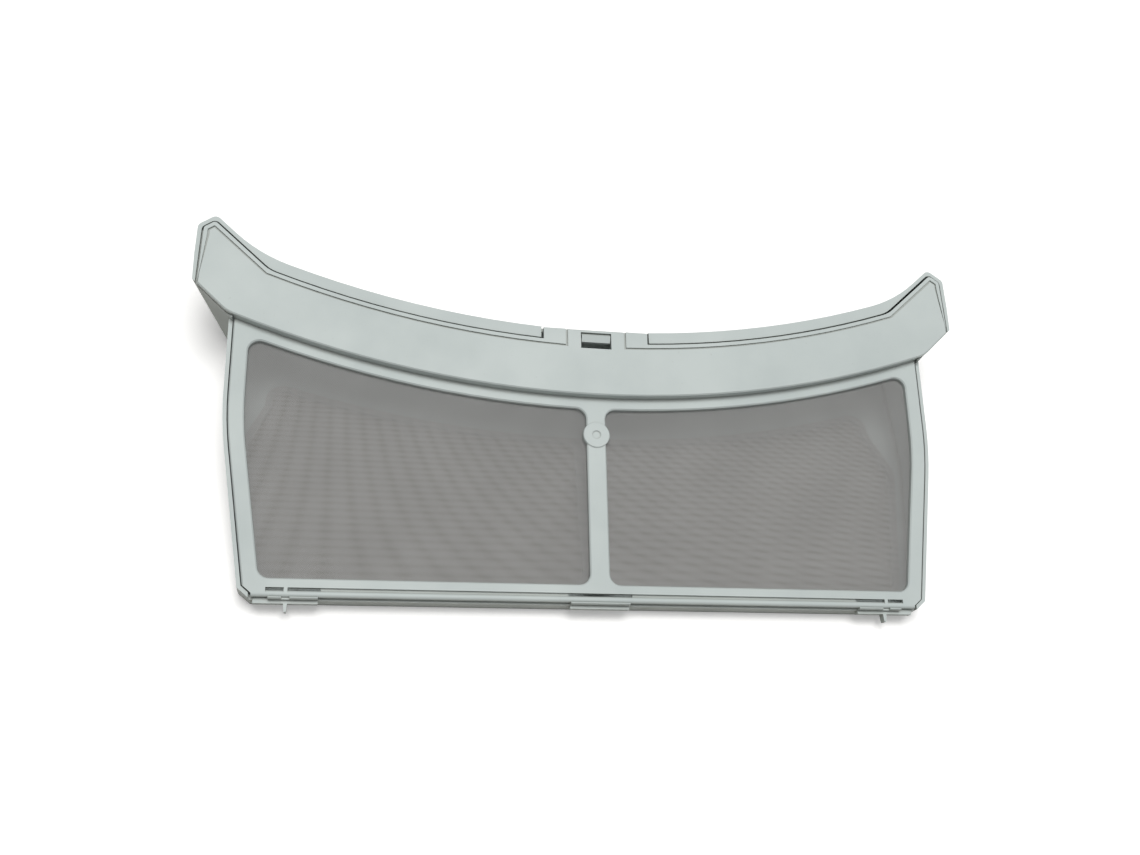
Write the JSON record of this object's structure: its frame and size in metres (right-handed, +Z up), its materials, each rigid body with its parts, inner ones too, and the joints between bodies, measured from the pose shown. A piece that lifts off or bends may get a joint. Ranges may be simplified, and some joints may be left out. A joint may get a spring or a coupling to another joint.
{
  "type": "tumble dryer lint filter",
  "caption": "Wedge-shaped fold-open lint filter cassette: a mesh-windowed lid with a curved, horned bezel, hinged along its lower edge to a mesh-backed tray.",
  "frame": {"origin": "on the outer face of the tray's flat back, on the middle of its centre bar", "axes": "+X along the width and the hinge rod, +Y from the hinge up to the horned bezel, +Z up out of the flat back towards the lid"},
  "size_m": [0.323, 0.1568, 0.0468],
  "materials": {
    "frame_plastic": "satin moulded polypropylene, pale grey",
    "mesh_fabric": "fine woven monofilament mesh, grey"
  },
  "bodies": {
    "tray": {"rear_tray": "frame_plastic", "rear_mesh": "mesh_fabric"},
    "lid": {"front_lid": "frame_plastic", "front_mesh": "mesh_fabric"}
  },
  "joints": [
    {"name": "lid_hinge", "type": "hinge", "parent": "tray", "child": "lid", "pos_m": [0, -0.07197, 0.0109], "axis": [1, 0, 0], "range_deg": [0, 100]}
  ]
}
